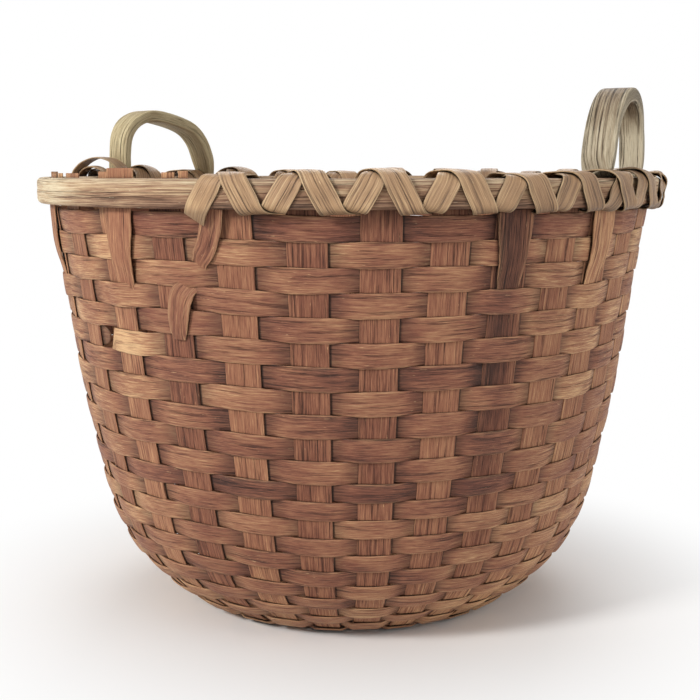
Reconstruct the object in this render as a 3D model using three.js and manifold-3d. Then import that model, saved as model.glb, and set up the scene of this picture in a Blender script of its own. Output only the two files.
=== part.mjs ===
// A round splint-woven gathering basket with a double rim hoop, X lashing and two bent ear handles.
// Millimetres, +Z up. The origin is on the floor under the middle of the hoops. Bearings are
// measured about the axis from -Y, the front, towards +X.
import * as THREE from 'three';
import { mergeVertices } from 'three/addons/utils/BufferGeometryUtils.js';
import Module from 'manifold-3d';

const wasm = await Module();
wasm.setup();

// Driving dimensions of the body
const rimRadius = 230;
const rimHeight = 306;
const footRadius = 110;
const hubRadius = 62;
const hubRise = 8;
const hubShift = 16.4;
const hubBearingDegrees = 67;
const clearance = 0.35;

// Driving dimensions of the splints that cross under the basket and stand up as stakes
const splintCount = 15;
const firstRayDegrees = -63;
const stakeWidth = 25;
const stakeThickness = 1.3;
const crossingWidth = 10;
const crossingThickness = 0.6;
const crossingRadius = 29;
const footFillShare = 0.68;
const hubFillShare = 0.66;

// Driving dimensions of the weavers. The rows of the wall share out its length, the narrow ones at
// narrowPitchShare of the pitch of the wide ones.
const weaverThickness = 1.2;
const wideRowCount = 11;
const wideRowGap = 0.5;
const wideBandRowCount = 6;
const narrowRowCount = 12;
const narrowRowGap = 0.8;
const narrowBandRowCount = 2;
const narrowPitchShare = 0.832;
const footWeaverWidth = 12;
const footRowGap = 0.5;
const baseWeaverWidth = 12;
const baseRowCount = 3;
const stakeEdgeRoom = 1;
const jointStepCount = 7;

// Driving dimensions of the rim hoops and their lashing
const hoopHeight = 18;
const outerHoopThickness = 8.8;
const innerHoopThickness = 9;
const hoopChamfer = 2.6;
const hoopSideCount = 40;
const hoopLapDegrees = 20;
const outerLapEndDegrees = 52;
const innerLapEndDegrees = 170;
const lashWidth = 12;
const lashThickness = 1;
const lashFromDegrees = -24;
const lashToDegrees = 262;
const lashLengthCount = 3;
const lashStepDegrees = 7;
const lashStartShare = 0.55;
const lashEndShare = 0.4;

// Driving dimensions of the ear handles, which were bent by eye, so each has a span and rise of its own
const rightHandleBearingDegrees = 62.5;
const rightHandleSpan = 94;
const rightHandleRise = 69;
const leftHandleBearingDegrees = -128.7;
const leftHandleSpan = 100;
const leftHandleRise = 64;
const handleWidth = 22;
const handleTopThickness = 9.5;
const handleLegThickness = 6;
const handleInset = 19;
const tongueThickness = 3.6;
const tongueWidth = 5;
const tongueLength = 52;
const handleCornerShare = 0.25;
const overrun = 5;

const radians = THREE.MathUtils.degToRad;
const fullTurn = 2 * Math.PI;

// Profile of the wall, in radius and height, half way through its thickness
const hoopSeat = (rimRadius - outerHoopThickness) * Math.cos(Math.PI / hoopSideCount) - clearance;
const wallRadius = Math.sqrt(hoopSeat ** 2 - (stakeWidth / 2) ** 2) - stakeThickness / 2;
const hoopTop = rimHeight + hoopHeight / 2;
const hoopBottom = rimHeight - hoopHeight / 2;
const wallTop = hoopBottom - 2 * lashThickness - 3 * clearance;
const weaveOffset = (stakeThickness + weaverThickness) / 2 + clearance;
const footLift = weaveOffset + weaverThickness / 2;
const footEdge = footRadius + (footWeaverWidth + footRowGap) / 2;
const baseEdge = footRadius - (footWeaverWidth + footRowGap) / 2;
const wallShares = [
  [1, 1], [0.909, 0.785], [0.827, 0.575], [0.74, 0.416], [0.638, 0.257], [0.503, 0.151],
  [0.318, 0.075], [0.226, 0.048], [0.136, 0.022], [0.054, 0.006], [0, 0],
];
const wallCurve = new THREE.SplineCurve(wallShares.map(([outShare, upShare]) => new THREE.Vector2(
  THREE.MathUtils.lerp(footEdge, wallRadius, outShare),
  THREE.MathUtils.lerp(footLift, wallTop, upShare),
)));
const wallLength = wallCurve.getLength();
const widePitch = wallLength / (wideRowCount + narrowRowCount * narrowPitchShare);
const wideLength = wideRowCount * widePitch;
const wideWeaverWidth = widePitch - wideRowGap;
const narrowWeaverWidth = narrowPitchShare * widePitch - narrowRowGap;

// The wall is a chain of straight bands, so that stakes and weavers lie flat against each other.
function makeBand(from, to, rows, width) {
  const along = to.clone().sub(from).normalize();
  const out = new THREE.Vector2(-along.y, along.x);
  return { from, to, rows, width, along, out };
}

function wallBands(start, end, rowCount, rowsPerBand, width) {
  const made = [];
  for (let row = 0; row < rowCount; row += rowsPerBand) {
    const rows = Math.min(rowsPerBand, rowCount - row);
    const from = wallCurve.getPointAt(THREE.MathUtils.lerp(start, end, row / rowCount) / wallLength);
    const next = Math.min(1, THREE.MathUtils.lerp(start, end, (row + rows) / rowCount) / wallLength);
    made.push(makeBand(from, wallCurve.getPointAt(next), rows, width));
  }
  return made;
}

const bands = [
  makeBand(new THREE.Vector2(wallRadius, hoopTop), new THREE.Vector2(wallRadius, wallTop), 0, 0),
  ...wallBands(0, wideLength, wideRowCount, wideBandRowCount, wideWeaverWidth),
  ...wallBands(wideLength, wallLength, narrowRowCount, narrowBandRowCount, narrowWeaverWidth),
  makeBand(
    new THREE.Vector2(footEdge, footLift),
    new THREE.Vector2(baseEdge, footLift),
    1,
    footWeaverWidth,
  ),
  makeBand(
    new THREE.Vector2(baseEdge, footLift),
    new THREE.Vector2(hubRadius, footLift + hubRise),
    baseRowCount,
    baseWeaverWidth,
  ),
];

// Plan of the basket: the splints cross at a hub that lies beside the axis, at equal angles, so the
// stakes stand closer together on the side that the hub is nearer to. Inside the foot each ring of
// the plan slides towards the hub.
const hubBearing = radians(hubBearingDegrees);
const stakeCount = 2 * splintCount;
const rayStep = fullTurn / stakeCount;

function stakeAngle(index) {
  const ray = radians(firstRayDegrees) + index * rayStep;
  return ray + Math.asin((hubShift / footRadius) * Math.sin(hubBearing - ray));
}

function stakeSpacing(index) {
  return (stakeAngle(index + 1) - stakeAngle(index - 1)) / 2;
}

function place(angle, radius, height) {
  const shift = hubShift * Math.max(0, 1 - radius / footRadius);
  return new THREE.Vector3(
    shift * Math.sin(hubBearing) + radius * Math.sin(angle),
    -shift * Math.cos(hubBearing) - radius * Math.cos(angle),
    height,
  );
}

function stakeWidthAt(index, radius) {
  const footWidth = footFillShare * footRadius * stakeSpacing(index);
  const hubWidth = hubFillShare * hubRadius * stakeSpacing(index);
  if (radius > footRadius) {
    return THREE.MathUtils.mapLinear(radius, footRadius, wallRadius, footWidth, stakeWidth);
  }
  return THREE.MathUtils.mapLinear(radius, hubRadius, footRadius, hubWidth, footWidth);
}

// Geometry: a strip, hoop or bow is a chain of rings with the same number of corners
function skin(rings) {
  const sides = rings[0].length;
  const positions = rings.flat().flatMap((corner) => corner.toArray());
  const index = [];
  for (let ring = 0; ring + 1 < rings.length; ring += 1) {
    for (let side = 0; side < sides; side += 1) {
      const here = ring * sides + side;
      const beside = ring * sides + (side + 1) % sides;
      index.push(here, beside, beside + sides, here, beside + sides, here + sides);
    }
  }
  const last = (rings.length - 1) * sides;
  for (let side = 1; side + 1 < sides; side += 1) {
    index.push(0, side + 1, side, last, last + side, last + side + 1);
  }
  if (enclosedVolume(positions, index) < 0) {
    index.reverse();
  }
  const geometry = new THREE.BufferGeometry();
  geometry.setAttribute('position', new THREE.Float32BufferAttribute(positions, 3));
  geometry.setIndex(index);
  return geometry;
}

function enclosedVolume(positions, index) {
  const corner = (at) => new THREE.Vector3().fromArray(positions, 3 * index[at]);
  let sum = 0;
  for (let at = 0; at < index.length; at += 3) {
    sum += corner(at).dot(corner(at + 1).cross(corner(at + 2)));
  }
  return sum / 6;
}

function toSolid(geometry) {
  const merged = mergeVertices(geometry);
  return new wasm.Manifold(new wasm.Mesh({
    numProp: 3,
    vertProperties: new Float32Array(merged.attributes.position.array),
    triVerts: new Uint32Array(merged.index.array),
  }));
}

function toGeometry(solid) {
  const mesh = solid.getMesh();
  const geometry = new THREE.BufferGeometry();
  geometry.setAttribute('position', new THREE.BufferAttribute(mesh.vertProperties, 3));
  geometry.setIndex(new THREE.BufferAttribute(mesh.triVerts, 1));
  return geometry;
}

const group = new THREE.Group();

function addPiece(name, geometry, material) {
  const mesh = new THREE.Mesh(geometry, material.clone());
  mesh.name = name;
  group.add(mesh);
}

const stakeWood = new THREE.MeshStandardMaterial({ color: 0x8a5a3c, roughness: 0.72, metalness: 0 });
const weaverWood = new THREE.MeshStandardMaterial({ color: 0x9c6a45, roughness: 0.68, metalness: 0 });
const hoopWood = new THREE.MeshStandardMaterial({ color: 0xa07a52, roughness: 0.7, metalness: 0 });
const lashWood = new THREE.MeshStandardMaterial({ color: 0xa88458, roughness: 0.62, metalness: 0 });
const handleWood = new THREE.MeshStandardMaterial({ color: 0xa09068, roughness: 0.7, metalness: 0 });

// Splints: each runs down one side, under the basket and up the other side. Where they cross they are
// narrow and thin, and each lies on the one before it; every second one lies in the upper half.
function bandCorner(bandIndex, offset) {
  const before = bands[Math.max(0, bandIndex - 1)];
  const after = bands[Math.min(bands.length - 1, bandIndex)];
  const corner = bandIndex < bands.length ? after.from : before.to;
  const out = before.out.clone().add(after.out).normalize();
  const reach = offset / out.dot(after.out);
  return corner.clone().addScaledVector(out, reach);
}

function stakeRing(index, bandIndex, turn) {
  const halfWidth = stakeWidthAt(index, bandCorner(bandIndex, 0).x) / 2;
  const corner = (offset, side) => {
    const { x: radius, y: height } = bandCorner(bandIndex, offset);
    const halfAngle = Math.atan(halfWidth / radius);
    return place(stakeAngle(index) + side * halfAngle, radius / Math.cos(halfAngle), height);
  };
  const half = stakeThickness / 2;
  return [corner(-half, -turn), corner(half, -turn), corner(half, turn), corner(-half, turn)];
}

function crossingRing(index, level, turn) {
  const ray = radians(firstRayDegrees) + index * rayStep;
  const across = sideways(ray).multiplyScalar(turn * crossingWidth / 2);
  const height = footLift + hubRise + level * (crossingThickness + clearance);
  const middle = place(stakeAngle(index), crossingRadius, height);
  const corner = (up, side) => middle.clone().addScaledVector(across, side).setZ(height + up);
  const half = crossingThickness / 2;
  return [corner(half, -1), corner(-half, -1), corner(-half, 1), corner(half, 1)];
}

for (let splint = 0; splint < splintCount; splint += 1) {
  const lowerHalf = Math.ceil(splintCount / 2);
  const level = splint % 2 === 0 ? splint / 2 : lowerHalf + (splint - 1) / 2;
  const corners = bands.map((band, index) => index).concat(bands.length);
  const rings = corners.map((index) => stakeRing(splint, index, 1));
  rings.push(crossingRing(splint, level, 1));
  rings.push(crossingRing(splint + splintCount, level, -1));
  corners.reverse().forEach((index) => rings.push(stakeRing(splint + splintCount, index, -1)));
  addPiece(`splint_${String(splint + 1).padStart(2, '0')}`, skin(rings), stakeWood);
}

// Weavers: one strip a row, over one stake and under the next, with its two ends meeting behind a stake
function weaverRing(row, angle, offset, flatHalfAngle) {
  const corner = (side, depth) => {
    const at = row.middle.clone()
      .addScaledVector(row.along, side * row.width / 2)
      .addScaledVector(row.out, offset + depth * weaverThickness / 2);
    return place(angle, at.x / Math.cos(flatHalfAngle), at.y);
  };
  return [corner(-1, -1), corner(-1, 1), corner(1, 1), corner(1, -1)];
}

function weaverRings(row) {
  const start = 2 * Math.floor(row.number * jointStepCount / 2) + row.number % 2;
  const endRoom = clearance / row.middle.x;
  const rings = [];
  for (let step = 0; step <= stakeCount; step += 1) {
    const index = start + step;
    const side = step % 2 === 0 ? -1 : 1;
    const flat = stakeWidthAt(index, row.middle.x) / 2 + stakeEdgeRoom;
    const half = Math.atan(flat / row.middle.x);
    const angle = stakeAngle(index);
    const offset = side * weaveOffset;
    rings.push(weaverRing(row, step === 0 ? angle + endRoom : angle - half, offset, step === 0 ? 0 : half));
    rings.push(weaverRing(row, step === stakeCount ? angle - endRoom : angle + half, offset,
      step === stakeCount ? 0 : half));
  }
  return rings;
}

let rowNumber = 0;
for (const band of bands) {
  for (let row = 0; row < band.rows; row += 1) {
    rowNumber += 1;
    const middle = band.from.clone().lerp(band.to, (row + 0.5) / band.rows);
    const rowPlace = { middle, along: band.along, out: band.out, width: band.width, number: rowNumber };
    addPiece(`weaver_${String(rowNumber).padStart(2, '0')}`, skin(weaverRings(rowPlace)), weaverWood);
  }
}

// Handles: a flat bow on two legs, with a shoulder on the hoops and a tongue down inside the wall
const rightBowShares = [
  [-1, 0.14], [-0.93, 0.4], [-0.72, 0.72], [-0.3, 0.95], [0.2, 1],
  [0.68, 0.91], [0.97, 0.65], [1.03, 0.35], [1, 0.14],
];
const leftBowShares = [
  [-1, 0.14], [-0.91, 0.44], [-0.74, 0.7], [-0.42, 0.88], [0.28, 1],
  [0.7, 0.93], [0.93, 0.73], [0.99, 0.43], [1, 0.14],
];
const bowStepCount = 14;
const tongueOffset = weaveOffset + weaverThickness / 2 + clearance + tongueThickness / 2;
const handleRadius = rimRadius - handleInset;

function legOutAngle(span) {
  return Math.asin(span / 2 / handleRadius);
}

function sectionRing(middle, across, out, acrossSize, outSize) {
  const cut = Math.min(acrossSize, outSize) * handleCornerShare;
  const a = acrossSize / 2;
  const b = outSize / 2;
  const outline = [
    [a, b - cut], [a - cut, b], [cut - a, b], [-a, b - cut],
    [-a, cut - b], [cut - a, -b], [a - cut, -b], [a, cut - b],
  ];
  return outline.map(([x, y]) => middle.clone().addScaledVector(across, x).addScaledVector(out, y));
}

function outward(angle) {
  return new THREE.Vector3(Math.sin(angle), -Math.cos(angle), 0);
}

function sideways(angle) {
  return new THREE.Vector3(Math.cos(angle), Math.sin(angle), 0);
}

function tongueRings(angle, turn) {
  const wall = bands[1];
  const drop = tongueLength / wall.from.distanceTo(wall.to);
  const low = wall.from.clone().lerp(wall.to, drop).addScaledVector(wall.out, -tongueOffset);
  const bend = bandCorner(1, -tongueOffset);
  const points = [[low.x, low.y], [bend.x, bend.y], [wallRadius - tongueOffset, hoopTop + clearance]];
  return points.map(([radius, height]) => sectionRing(
    outward(angle).multiplyScalar(radius).setZ(height),
    sideways(angle).multiplyScalar(turn),
    outward(angle),
    tongueWidth,
    tongueThickness,
  ));
}

function handleRings(bearing, span, rise, bowShares) {
  const plane = Math.sqrt(handleRadius ** 2 - (span / 2) ** 2);
  const bowTop = rise - handleTopThickness / 2;
  const bow = new THREE.CatmullRomCurve3(bowShares.map(([acrossShare, upShare]) => new THREE.Vector3(
    acrossShare * span / 2,
    0,
    rimHeight + upShare * bowTop,
  )));
  const rings = tongueRings(bearing - legOutAngle(span), 1);
  for (let step = 0; step <= bowStepCount; step += 1) {
    const share = step / bowStepCount;
    const at = bow.getPointAt(share);
    const direction = bow.getTangentAt(share);
    const foot = step === 0 || step === bowStepCount;
    const twist = foot ? Math.atan2(at.x, plane) : 0;
    const across = sideways(bearing + twist).multiplyScalar(foot ? Math.sign(direction.z) : direction.z);
    across.z = foot ? 0 : -direction.x;
    const middle = outward(bearing).multiplyScalar(plane).addScaledVector(sideways(bearing), at.x);
    middle.z = foot ? hoopTop + clearance : at.z;
    const swell = Math.sin(Math.PI * share);
    const thickness = THREE.MathUtils.lerp(handleLegThickness, handleTopThickness, swell);
    rings.push(sectionRing(middle, across, outward(bearing + twist), thickness, handleWidth));
  }
  return rings.concat(tongueRings(bearing + legOutAngle(span), -1).reverse());
}

const rightBearing = radians(rightHandleBearingDegrees);
const leftBearing = radians(leftHandleBearingDegrees);
const rightRings = handleRings(rightBearing, rightHandleSpan, rightHandleRise, rightBowShares);
const leftRings = handleRings(leftBearing, leftHandleSpan, leftHandleRise, leftBowShares);
addPiece('handle_right', skin(rightRings), handleWood);
addPiece('handle_left', skin(leftRings), handleWood);
const legAngles = [
  rightBearing - legOutAngle(rightHandleSpan),
  rightBearing + legOutAngle(rightHandleSpan),
  leftBearing - legOutAngle(leftHandleSpan),
  leftBearing + legOutAngle(leftHandleSpan),
];

// Hoops: a bent band, flat on the side that seats on the stakes and rounded on its face. Its two ends
// are cut down and lapped, the seat side starting before lapEnd and the face side stopping there.
const lapStepCount = 3;
const lapStartShare = 0.25;
const lapEndShare = 0.6;

function hoopRings(seat, face, lapEnd) {
  const lap = radians(hoopLapDegrees);
  const start = lapEnd - lap;
  const outside = Math.sign(face - seat);
  const rings = [];
  const ring = (angle, near, far) => {
    const cut = Math.min(hoopChamfer, Math.abs(far - near) / 2);
    const outline = [
      [near, hoopBottom], [far - outside * cut, hoopBottom], [far, hoopBottom + cut],
      [far, hoopTop - cut], [far - outside * cut, hoopTop], [near, hoopTop],
    ];
    rings.push(outline.map(([radius, height]) => outward(angle).multiplyScalar(radius).setZ(height)));
  };
  const split = (share) => THREE.MathUtils.lerp(
    seat,
    face,
    THREE.MathUtils.lerp(lapStartShare, lapEndShare, share),
  );
  for (let step = 0; step <= lapStepCount; step += 1) {
    const share = step / lapStepCount;
    ring(start + share * lap, seat, split(share) - outside * clearance / 2);
  }
  const turnStepCount = hoopSideCount - lapStepCount;
  for (let step = 1; step < turnStepCount; step += 1) {
    ring(lapEnd + (fullTurn - lap) * step / turnStepCount, seat, face);
  }
  for (let step = 0; step <= lapStepCount; step += 1) {
    const share = step / lapStepCount;
    ring(start + fullTurn + share * lap, split(share) + outside * clearance / 2, face);
  }
  return rings;
}

const innerHoopFace = wallRadius - stakeThickness / 2 - clearance;
const innerHoopBack = innerHoopFace - innerHoopThickness;
addPiece(
  'outer_rim_hoop',
  skin(hoopRings(rimRadius - outerHoopThickness, rimRadius, radians(outerLapEndDegrees))),
  hoopWood,
);

function notchCutter(angle) {
  const low = wallRadius - tongueOffset - tongueThickness / 2 - clearance;
  const high = innerHoopFace + overrun;
  return skin([hoopBottom - overrun, hoopTop + overrun].map((height) => sectionRing(
    outward(angle).multiplyScalar((low + high) / 2).setZ(height),
    sideways(angle),
    outward(angle),
    tongueWidth + 2 * clearance,
    high - low,
  )));
}

let innerHoop = toSolid(skin(hoopRings(innerHoopFace, innerHoopBack, radians(innerLapEndDegrees))));
for (const angle of legAngles) {
  innerHoop = innerHoop.subtract(toSolid(notchCutter(angle)));
}
addPiece('inner_rim_hoop', toGeometry(innerHoop), hoopWood);

// Lashing: one strip winds to the right and one to the left, round both hoops, passing through the wall
// between the stakes and over the top above each stake, where the two cross. Each is laid in lengths.
const gapAngles = [];
const sameGap = rayStep / 4;
for (let index = 0; index < stakeCount; index += 1) {
  gapAngles.push((stakeAngle(index) + stakeAngle(index + 1)) / 2);
}

function fromLegs(angle) {
  const offsets = legAngles.map((leg) => {
    const turned = (angle - leg) % fullTurn;
    return turned > Math.PI ? turned - fullTurn : turned;
  });
  return offsets.sort((one, other) => Math.abs(one) - Math.abs(other))[0];
}

const tongueRoom = ((tongueWidth + lashWidth) / 2 + clearance) / innerHoopBack;
const legRoom = ((handleLegThickness + lashWidth) / 2 + 3 * clearance) / innerHoopBack;
const lashGaps = gapAngles
  .filter((angle) => angle >= radians(lashFromDegrees) - sameGap && angle <= radians(lashToDegrees))
  .filter((angle) => Math.abs(fromLegs(angle)) > tongueRoom);

// A strip crosses the top above a stake, or short of a handle's leg, which it then passes on the outside.
function topAngle(left, right, side) {
  const middle = (left + right) / 2;
  const offset = fromLegs(middle);
  return Math.abs(offset) < legRoom ? middle - side * legRoom - offset : middle;
}

function gapWidth(angle) {
  const nearest = gapAngles.findIndex((gap) => Math.abs(gap - angle) < sameGap);
  const open = (stakeAngle(nearest + 1) - stakeAngle(nearest)) * wallRadius - stakeWidth;
  return open - 2 * clearance;
}

function lashRings(gaps, side, layer) {
  const lift = clearance + lashThickness / 2 + layer * (lashThickness + clearance);
  const half = lashThickness / 2;
  const outerRadius = (rimRadius + lift) / Math.cos(radians(lashStepDegrees) / 2);
  const innerRadius = innerHoopBack * Math.cos(Math.PI / hoopSideCount) - lift;
  const top = hoopTop + lift;
  const bottom = hoopBottom - lift;
  const rings = [];
  const ring = (angle, radius, height, out, up, width) => {
    const corner = (depth, across) => outward(angle)
      .multiplyScalar(radius + depth * out * half)
      .addScaledVector(sideways(angle), across * width / 2)
      .setZ(height + depth * up * half);
    rings.push([corner(-1, -1), corner(1, -1), corner(1, 1), corner(-1, 1)]);
  };
  const run = (from, to, radius, out, fromWidth, toWidth) => {
    const steps = Math.ceil(Math.abs(to.angle - from.angle) / radians(lashStepDegrees));
    for (let step = 1; step < steps; step += 1) {
      const share = step / steps;
      ring(
        THREE.MathUtils.lerp(from.angle, to.angle, share),
        radius,
        THREE.MathUtils.lerp(from.height, to.height, share),
        out,
        0,
        THREE.MathUtils.lerp(fromWidth, toWidth, share),
      );
    }
  };
  for (let turn = 0; turn + 1 < gaps.length; turn += 1) {
    const from = { angle: gaps[turn], height: bottom };
    const to = { angle: gaps[turn + 1], height: bottom };
    const crest = { angle: topAngle(from.angle, to.angle, side), height: top };
    const fromWidth = Math.min(lashWidth, gapWidth(from.angle));
    const toWidth = Math.min(lashWidth, gapWidth(to.angle));
    if (turn === 0) {
      const angle = THREE.MathUtils.lerp(from.angle, crest.angle, lashStartShare);
      const height = THREE.MathUtils.lerp(bottom, top, lashStartShare);
      ring(angle, innerRadius, height, -1, 0, lashWidth);
    } else {
      run(from, crest, innerRadius, -1, fromWidth, lashWidth);
    }
    ring(crest.angle, innerRadius, top, -1, 1, lashWidth);
    ring(crest.angle, outerRadius, top, 1, 1, lashWidth);
    run(crest, to, outerRadius, 1, lashWidth, toWidth);
    ring(to.angle, outerRadius, bottom, 1, -1, toWidth);
    ring(to.angle, innerRadius, bottom, -1, -1, toWidth);
  }
  const last = gaps[gaps.length - 1];
  const beyond = last + Math.sign(last - gaps[0]) * rayStep / 2;
  const angle = THREE.MathUtils.lerp(last, beyond, lashEndShare);
  ring(angle, innerRadius, THREE.MathUtils.lerp(bottom, top, lashEndShare), -1, 0, lashWidth);
  return rings;
}

// The least distance between two turns of one strip, measured between the corners of its sections
function leastGap(rings) {
  const turnRingCount = 4;
  let least = Infinity;
  for (let one = 0; one < rings.length; one += 1) {
    for (let other = one + turnRingCount; other < rings.length; other += 1) {
      for (const corner of rings[one]) {
        for (const far of rings[other]) {
          least = Math.min(least, corner.distanceTo(far));
        }
      }
    }
  }
  return least;
}

function addLashing(label, gaps, side, layer) {
  for (let length = 0; length < lashLengthCount; length += 1) {
    const first = Math.round((gaps.length - 1) * length / lashLengthCount);
    const last = Math.round((gaps.length - 1) * (length + 1) / lashLengthCount);
    const rings = lashRings(gaps.slice(first, last + 1), side, layer);
    addPiece(`${label}_${length + 1}`, skin(rings), lashWood);
    const least = leastGap(rings).toFixed(2);
    console.log(`${label}_${length + 1}: ${last - first} turns, least gap ${least} mm`);
  }
}

addLashing('lashing_over', lashGaps, 1, 1);
addLashing('lashing_under', lashGaps.slice().reverse(), -1, 0);

export default group;
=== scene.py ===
"""A round splint-woven gathering basket with a double rim hoop, X lashing and two bent ear handles.

Metres, +Z up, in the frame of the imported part. Bearings are measured about the axis from -Y, the
front, towards +X. The sections follow the basket as it is put together.
"""

import bpy
import numpy as np
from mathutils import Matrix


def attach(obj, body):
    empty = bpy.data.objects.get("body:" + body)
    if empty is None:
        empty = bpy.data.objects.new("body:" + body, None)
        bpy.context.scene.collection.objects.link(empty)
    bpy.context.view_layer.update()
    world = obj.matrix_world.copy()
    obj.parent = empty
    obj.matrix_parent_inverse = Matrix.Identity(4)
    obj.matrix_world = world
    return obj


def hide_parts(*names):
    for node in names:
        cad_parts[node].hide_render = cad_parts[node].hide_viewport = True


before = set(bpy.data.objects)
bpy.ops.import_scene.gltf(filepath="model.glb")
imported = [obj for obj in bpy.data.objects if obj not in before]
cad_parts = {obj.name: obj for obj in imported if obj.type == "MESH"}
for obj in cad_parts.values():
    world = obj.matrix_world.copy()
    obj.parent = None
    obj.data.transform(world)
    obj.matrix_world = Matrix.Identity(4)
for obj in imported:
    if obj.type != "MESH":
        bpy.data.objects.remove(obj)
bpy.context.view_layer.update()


# UPRIGHT SPLINTS
# Fifteen long strips of ash, split along the growth rings with a froe and shaved. They cross under the
# basket and are bent up at the foot, so each makes two of the thirty stakes of the wall.
rim_radius, rim_height = 0.230, 0.306
foot_radius, hub_radius = 0.110, 0.062
hub_rise, hub_shift, hub_bearing = 0.008, 0.0164, np.radians(67)
clearance = 0.00035
splint_count, first_ray = 15, np.radians(-63)
stake_count = 2 * splint_count
ray_step = 2 * np.pi / stake_count
stake_width, stake_thickness = 0.025, 0.0013
stake_cup, stake_cock, cock_reach = 0.0002, np.radians(2.2), 0.04
crossing_width, crossing_thickness, crossing_radius = 0.010, 0.0006, 0.029
foot_fill_share, hub_fill_share = 0.68, 0.66
arm_points, crossing_points = 190, 54
hoop_height = 0.018
hoop_top, hoop_bottom = rim_height + hoop_height / 2, rim_height - hoop_height / 2
# How far the cut end of a stake stands above the hoops: most end just under their top
stub_heights, usual_stub = {0: 0.003, 1: 0.0040, 28: 0.004, 29: 0.0028}, -0.0005
wall_radius, wall_top = 0.21916, 0.29395
foot_pitch, foot_lift = 0.0125, 0.0022
foot_edge, base_edge = foot_radius + foot_pitch / 2, foot_radius - foot_pitch / 2
wall_shares = np.array([
    (1, 1), (0.909, 0.785), (0.827, 0.575), (0.74, 0.416), (0.638, 0.257), (0.503, 0.151),
    (0.318, 0.075), (0.226, 0.048), (0.136, 0.022), (0.054, 0.006), (0, 0),
])


def smooth_through(points, per_span=24):
    """A curve through points: on each span the cubic whose slope at a point is half the step between
    its neighbours. The end points stand in for the neighbours that they lack."""
    points = np.asarray(points, float)
    padded = np.vstack([points[:1], points, points[-1:]])
    before, here, ahead, beyond = padded[:-3, None], padded[1:-2, None], padded[2:-1, None], padded[3:, None]
    share = np.linspace(0, 1, per_span, endpoint=False)[None, :, None]
    leave, arrive = (ahead - before) / 2, (beyond - here) / 2
    curve = (((2 * here - 2 * ahead + leave + arrive) * share - 3 * here + 3 * ahead - 2 * leave - arrive)
             * share + leave) * share + here
    return np.vstack([curve.reshape(-1, points.shape[1]), points[-1:]])


def lengths_along(points):
    """Distance from the first point to each point, summed over the steps between them."""
    return np.concatenate([[0], np.cumsum(np.linalg.norm(np.diff(points, axis=0), axis=1))])


def soften(values, reach):
    """Each value becomes the mean of those up to reach places from it. The end values stand in for
    the neighbours that they lack."""
    padded = np.pad(values, [(reach, reach)] + [(0, 0)] * (values.ndim - 1), mode="edge")
    return sum(padded[shift:shift + len(values)] for shift in range(2 * reach + 1)) / (2 * reach + 1)


def unit(vectors):
    """Each vector over its own length."""
    return vectors / np.linalg.norm(vectors, axis=-1, keepdims=True)


# The profile of the wall, half way through the stakes, by the distance down it from under the rim
wall_curve = smooth_through(np.stack([
    foot_edge + wall_shares[:, 0] * (wall_radius - foot_edge),
    foot_lift + wall_shares[:, 1] * (wall_top - foot_lift),
], 1))
wall_length = lengths_along(wall_curve)[-1]
stub_room, profile_step = 0.012, 0.001
profile = np.vstack([
    [(wall_radius, hoop_top + stub_room)],
    wall_curve,
    [(base_edge, foot_lift), (hub_radius, foot_lift + hub_rise)],
])
profile_places = lengths_along(profile) - (hoop_top + stub_room - wall_top)
even_places = np.arange(profile_places[0], profile_places[-1], profile_step)
even_profile = np.stack([np.interp(even_places, profile_places, profile[:, axis]) for axis in (0, 1)], 1)
even_profile = soften(even_profile, 4)
even_slope = unit(np.gradient(even_profile, even_places, axis=0))
hub_place = profile_places[-1]


def wall(down):
    """Radius and height of the wall at a distance down it, and the direction down it there."""
    at = [np.interp(down, even_places, even_profile[:, axis]) for axis in (0, 1)]
    slope = [np.interp(down, even_places, even_slope[:, axis]) for axis in (0, 1)]
    return (*at, *slope)


def stake_bearing(index):
    """Rays leave the hub at equal angles, so the stakes stand closer on the side it is nearer to: the
    ray's angle plus the arcsine of the hub's shift across it over the foot's radius."""
    ray = first_ray + index * 2 * np.pi / stake_count
    return ray + np.arcsin(hub_shift / foot_radius * np.sin(hub_bearing - ray))


def stake_width_at(index, radius):
    """From the hub's share of the stake spacing to the foot's, and on to the full width at the rim."""
    spacing = (stake_bearing(index + 1) - stake_bearing(index - 1)) / 2
    foot_width = foot_fill_share * foot_radius * spacing
    hub_width = hub_fill_share * hub_radius * spacing
    above = foot_width + (stake_width - foot_width) * (radius - foot_radius) / (wall_radius - foot_radius)
    below = foot_width + (hub_width - foot_width) * (foot_radius - radius) / (foot_radius - hub_radius)
    return np.where(radius > foot_radius, above, below)


def plan(bearing, radius, height):
    """The point at a bearing, radius and height. Inside the foot a ring slides towards the hub, by the
    hub's shift times one less the ring's radius over the foot's."""
    shift = hub_shift * np.maximum(0, 1 - radius / foot_radius)
    return np.stack(np.broadcast_arrays(
        shift * np.sin(hub_bearing) + radius * np.sin(bearing),
        -shift * np.cos(hub_bearing) - radius * np.cos(bearing),
        height,
    ), -1)


def outward(bearing, level=1.0, up=0.0):
    """The unit direction away from the axis at a bearing, times level, plus up along Z."""
    return np.stack(np.broadcast_arrays(level * np.sin(bearing), -level * np.cos(bearing), up), -1)


def sideways(bearing):
    """The unit direction round the axis at a bearing, towards growing bearings."""
    return np.stack(np.broadcast_arrays(np.cos(bearing), np.sin(bearing), 0.0), -1)


def on_wall(bearing, down, offset):
    """The points at a bearing and a distance down the wall, moved out of it by offset, and the
    direction out of the wall there."""
    radius, height, slope_out, slope_up = wall(down)
    middle = plan(bearing, radius - slope_up * offset, height + slope_out * offset)
    return middle, outward(bearing, -slope_up, slope_out)


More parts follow.
